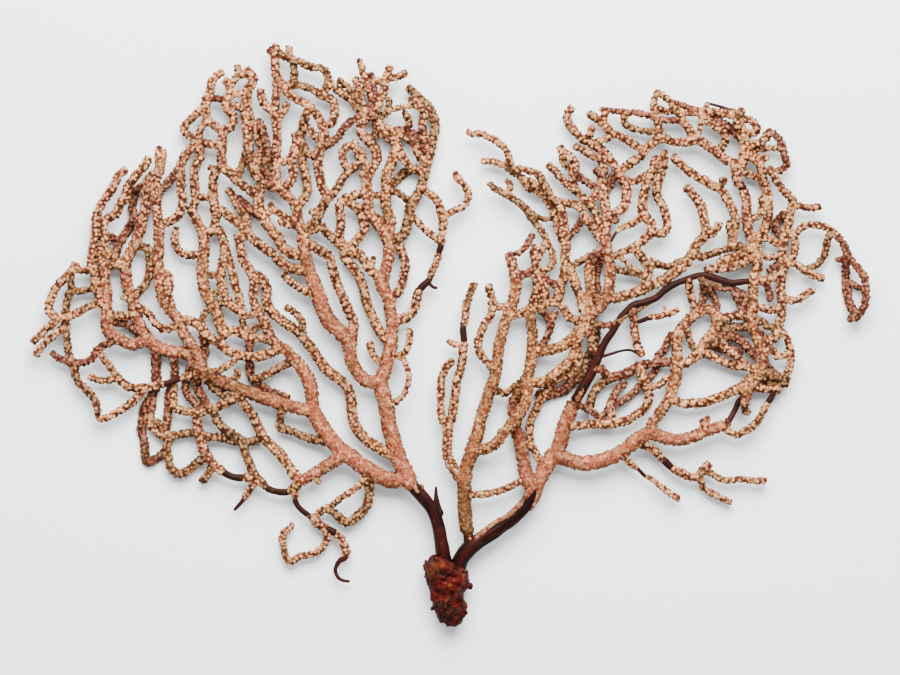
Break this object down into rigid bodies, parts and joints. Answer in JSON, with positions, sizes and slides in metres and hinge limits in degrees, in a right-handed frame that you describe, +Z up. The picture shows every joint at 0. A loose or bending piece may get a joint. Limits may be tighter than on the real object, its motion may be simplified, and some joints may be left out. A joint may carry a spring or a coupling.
{
  "type": "sea fan",
  "caption": "Dried sea fan lying flat: a rough holdfast, two bare stems and a wide net of knobbly branches that fork and join",
  "frame": {"origin": "centre of the bounding box in plan, on the surface it lies on", "axes": "+X across the fan to the right, +Y from the holdfast to the crowns, +Z up from the surface"},
  "size_m": [0.3784, 0.2622, 0.0163],
  "materials": {
    "bare_axis": "satin",
    "olive_coat": "matt",
    "pink_coat": "matt",
    "red_coat": "matt",
    "tan_coat": "matt"
  },
  "bodies": {
    "root": {"hanging_spray": "pink_coat", "holdfast": "red_coat", "left_centre_spray": "tan_coat", "left_crown": "tan_coat", "left_edge_spray": "tan_coat", "left_inner_bough": "tan_coat", "left_low_spray": "olive_coat", "left_lower_limb": "pink_coat", "left_outer_limb": "pink_coat", "left_stem": "bare_axis", "left_top_spray": "tan_coat", "left_upper_branch": "tan_coat", "left_upright_limb": "tan_coat", "right_arched_branch": "tan_coat", "right_bough": "bare_axis", "right_crown": "tan_coat", "right_horizontal_limb": "pink_coat", "right_inner_spray": "tan_coat", "right_middle_limb": "red_coat", "right_outer_spray": "tan_coat", "right_side_spray": "tan_coat", "right_stem": "bare_axis", "right_tall_branch": "pink_coat", "right_top_spray": "tan_coat", "right_upright_limb": "tan_coat"}
  },
  "joints": []
}
